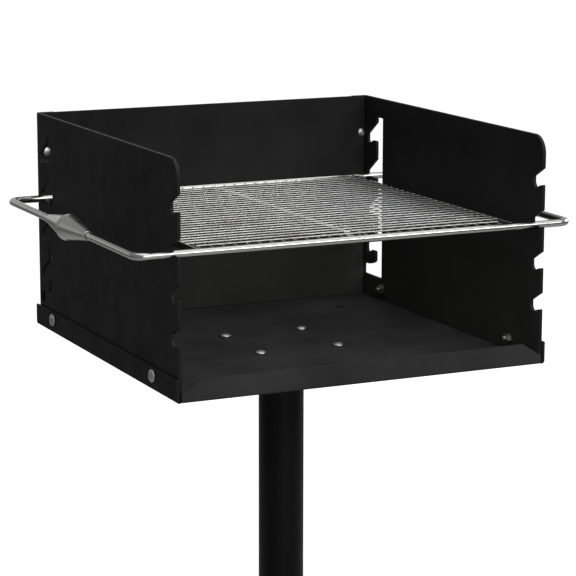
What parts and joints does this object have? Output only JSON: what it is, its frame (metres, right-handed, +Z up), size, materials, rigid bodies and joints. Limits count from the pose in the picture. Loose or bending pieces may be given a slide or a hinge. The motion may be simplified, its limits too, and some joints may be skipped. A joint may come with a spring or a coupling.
{
  "type": "park barbecue grill on a pedestal",
  "caption": "Charcoal grill for parks: an open-fronted steel fire box with a hooked, height-adjustable grate, turning on a single round post with a foot plate.",
  "frame": {"origin": "on the ground, on the axis of the post, at the underside of the foot plate", "axes": "+Z up along the post, -Y towards the open front of the fire box, +X to its right seen from the front"},
  "size_m": [0.6274, 0.5069, 1.0545],
  "materials": {
    "box_paint": "matt black stove paint, lightly worn at the edges",
    "post_paint": "satin black paint",
    "zinc": "dull zinc plating",
    "rod_plating": "plating on round rod and wire",
    "grip_plating": "smooth plating"
  },
  "bodies": {
    "pedestal": {"foot_plate": "post_paint", "gusset_front": "post_paint", "gusset_right": "post_paint", "gusset_rear": "post_paint", "gusset_left": "post_paint", "post": "post_paint", "lock_weld_nut": "post_paint", "lock_bolt": "zinc"},
    "head": {"swivel_plate": "post_paint", "swivel_stub": "post_paint", "fire_pan": "box_paint", "side_plate_left": "box_paint", "side_plate_right": "box_paint", "back_plate": "box_paint", "side_bolt_front_left": "zinc", "side_nut_front_left": "zinc", "side_bolt_rear_left": "zinc", "side_nut_rear_left": "zinc", "side_bolt_front_right": "zinc", "side_nut_front_right": "zinc", "side_bolt_rear_right": "zinc", "side_nut_rear_right": "zinc", "back_bolt_lower_left": "zinc", "back_nut_lower_left": "zinc", "back_bolt_upper_left": "zinc", "back_nut_upper_left": "zinc", "back_bolt_lower_right": "zinc", "back_nut_lower_right": "zinc", "back_bolt_upper_right": "zinc", "back_nut_upper_right": "zinc", "floor_bolt_front_left": "zinc", "floor_nut_front_left": "zinc", "floor_bolt_front_right": "zinc", "floor_nut_front_right": "zinc", "floor_bolt_rear_left": "zinc", "floor_nut_rear_left": "zinc", "floor_bolt_rear_right": "zinc", "floor_nut_rear_right": "zinc"},
    "grate": {"grate_frame": "rod_plating", "grate_long_wires": "rod_plating", "grate_cross_wires": "rod_plating", "grate_side_bar_left": "rod_plating", "grate_side_bar_right": "rod_plating"},
    "left_grip": {"grip_left": "grip_plating"},
    "right_grip": {"grip_right": "grip_plating"}
  },
  "joints": [
    {"name": "head_swivel", "type": "hinge", "parent": "pedestal", "child": "head", "pos_m": [0, 0, 0.755], "axis": [0, 0, 1], "continuous": true},
    {"name": "grate_unhook", "type": "slide", "parent": "head", "child": "grate", "axis": [0, -0.8387, 0.5446], "range_m": [0, 0.042]},
    {"name": "grip_left_spin", "type": "hinge", "parent": "grate", "child": "left_grip", "pos_m": [-0.2965, -0.003, 0.93955], "axis": [0, 1, 0], "continuous": true},
    {"name": "grip_right_spin", "type": "hinge", "parent": "grate", "child": "right_grip", "pos_m": [0.2965, -0.003, 0.93955], "axis": [0, 1, 0], "continuous": true}
  ]
}
